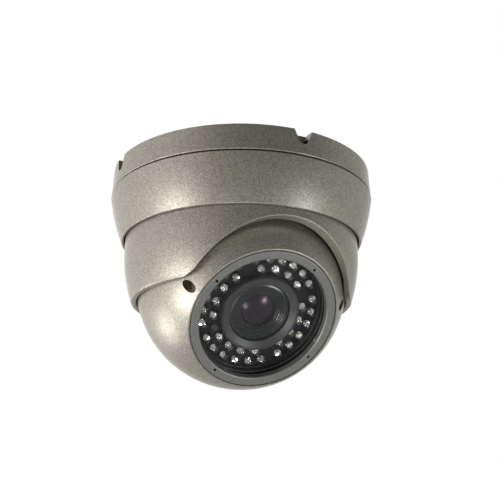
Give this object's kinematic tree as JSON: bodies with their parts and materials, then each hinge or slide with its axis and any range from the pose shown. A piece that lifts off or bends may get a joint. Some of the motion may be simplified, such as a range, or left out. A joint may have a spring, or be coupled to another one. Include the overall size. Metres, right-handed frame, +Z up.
{
  "type": "dome camera",
  "caption": "Ceiling dome camera: a ball with lens, lamp ring and window tilts in a turret shell that pans inside a tapered cover ring on a round base.",
  "frame": {"origin": "centre of the flat ceiling face of the base", "axes": "+Z up into the ceiling along the pan axis, lens looks towards -Y and 42.4 degrees down at rest, +X is the tilt axis"},
  "size_m": [0.145, 0.145, 0.119],
  "materials": {
    "painted_casting": "cast, with satin metallic grey-beige paint",
    "bezel_metal": "turned, with satin grey paint",
    "foam": "closed-cell foam",
    "black_rubber": "matte rubber",
    "felt": "black felt",
    "shroud_rubber": "charcoal silicone rubber",
    "steel": "plain steel",
    "black_screw": "black oxide",
    "nylon": "natural nylon",
    "black_plastic": "matte black moulding",
    "window_glass": "clear flat glass",
    "lens_glass": "coated optical glass",
    "led_lens": "clear epoxy",
    "circuit_board": "dark solder mask",
    "lens_black": "dark anodised",
    "chip": "epoxy package",
    "connector_plastic": "white nylon",
    "brass": "turned brass",
    "gear_plate_metal": "sheet metal",
    "gear_plastic": "acetal"
  },
  "bodies": {
    "base": {"base_plate": "painted_casting", "ceiling_gasket": "foam", "cable_grommet": "black_rubber", "cover_ring": "painted_casting", "cover_seal": "black_rubber", "cover_lock_screw": "steel", "pan_friction_washer": "nylon", "pan_spring_washer": "steel", "pan_retaining_ring": "steel"},
    "turret": {"turret_shell": "painted_casting", "dust_wiper": "felt", "trunnion_bushes": "nylon"},
    "eyeball": {"ball_front_housing": "painted_casting", "ball_rear_housing": "painted_casting", "ball_seal": "black_rubber", "ball_screws": "steel", "trunnion_pins": "steel", "tilt_friction_washers": "nylon", "cable_gland": "black_plastic", "front_bezel": "bezel_metal", "front_glass": "window_glass", "glass_gasket": "black_rubber", "led_board": "circuit_board", "leds_outer": "led_lens", "leds_inner": "led_lens", "photocell": "led_lens", "led_holder": "black_plastic", "led_board_screws": "black_screw", "lens_shroud": "shroud_rubber", "lens_barrel": "lens_black", "front_element": "lens_glass", "rear_elements": "lens_glass", "lens_mount": "black_plastic", "ir_cut_filter": "lens_glass", "image_sensor": "chip", "sensor_board": "circuit_board", "main_board": "circuit_board", "board_standoffs": "brass", "board_screws": "steel", "board_components": "chip", "board_connectors": "connector_plastic", "gear_plate": "gear_plate_metal", "gear_plate_screws": "steel", "idler_pins": "steel"},
    "zoom_ring": {"zoom_ring": "gear_plastic"},
    "focus_ring": {"focus_ring": "gear_plastic"},
    "zoom_idler": {"zoom_idler": "gear_plastic"},
    "focus_idler": {"focus_idler": "gear_plastic"},
    "zoom_adjuster": {"zoom_adjuster": "brass"},
    "focus_adjuster": {"focus_adjuster": "brass"}
  },
  "joints": [
    {"name": "pan", "type": "hinge", "parent": "base", "child": "turret", "pos_m": [0, 0, -0.03], "axis": [0, 0, 1], "range_deg": [-175, 175]},
    {"name": "tilt", "type": "hinge", "parent": "turret", "child": "eyeball", "pos_m": [0, 0, -0.062], "axis": [1, 0, 0], "range_deg": [-22, 47.6]},
    {"name": "zoom", "type": "hinge", "parent": "eyeball", "child": "zoom_ring", "pos_m": [0, -0.0048, -0.06638], "axis": [0, -0.7385, -0.6743], "range_deg": [-40, 40]},
    {"name": "focus", "type": "hinge", "parent": "eyeball", "child": "focus_ring", "pos_m": [0, -0.01218, -0.07313], "axis": [0, -0.7385, -0.6743], "range_deg": [-40, 40]},
    {"name": "zoom_idler_spin", "type": "hinge", "parent": "eyeball", "child": "zoom_idler", "pos_m": [-0.02962, -0.0084, -0.06244], "axis": [0, -0.7385, -0.6743], "range_deg": [-86, 86]},
    {"name": "focus_idler_spin", "type": "hinge", "parent": "eyeball", "child": "focus_idler", "pos_m": [0.02962, -0.01578, -0.06919], "axis": [0, -0.7385, -0.6743], "range_deg": [-86, 86]},
    {"name": "zoom_adjuster_spin", "type": "hinge", "parent": "eyeball", "child": "zoom_adjuster", "pos_m": [-0.0427, -0.02702, -0.07097], "axis": [0, -0.7385, -0.6743], "range_deg": [-172, 172]},
    {"name": "focus_adjuster_spin", "type": "hinge", "parent": "eyeball", "child": "focus_adjuster", "pos_m": [0.0427, -0.02702, -0.07097], "axis": [0, -0.7385, -0.6743], "range_deg": [-172, 172]}
  ],
  "couplings": [
    {"joint": "zoom_idler_spin", "follows": "zoom", "ratio": -2.125},
    {"joint": "focus_idler_spin", "follows": "focus", "ratio": -2.125},
    {"joint": "zoom_adjuster_spin", "follows": "zoom", "ratio": 4.25},
    {"joint": "focus_adjuster_spin", "follows": "focus", "ratio": 4.25}
  ]
}
